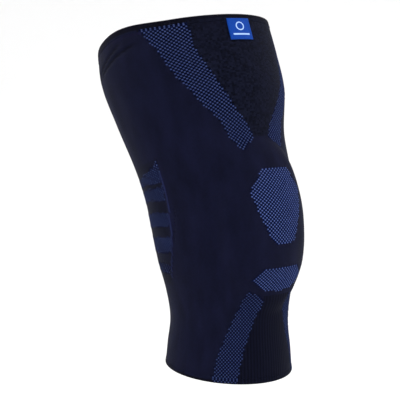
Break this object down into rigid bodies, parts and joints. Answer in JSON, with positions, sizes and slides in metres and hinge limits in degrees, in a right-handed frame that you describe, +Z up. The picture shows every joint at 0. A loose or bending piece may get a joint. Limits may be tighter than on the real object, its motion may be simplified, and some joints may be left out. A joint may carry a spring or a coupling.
{
  "type": "knee sleeve",
  "caption": "Knitted compression sleeve for the knee, in its worn form, with turned hems, a raised ring round the kneecap and a small woven label.",
  "frame": {"origin": "the middle of the hollow at the height of the kneecap, where the leg's middle line runs", "axes": "+Z up along the leg as it stands, towards the thigh; -Y out through the kneecap; the X axis runs across the knee"},
  "size_m": [0.1514, 0.1984, 0.3003],
  "materials": {
    "knit": "matte elastic jersey knit with jacquard mesh zones",
    "hem": "matte turned knit welt",
    "silicone": "smooth satin silicone",
    "label": "satin weave"
  },
  "bodies": {
    "root": {"knit_sleeve": "knit", "thigh_hem": "hem", "calf_hem": "hem", "kneecap_ring": "silicone", "woven_label": "label"}
  },
  "joints": []
}
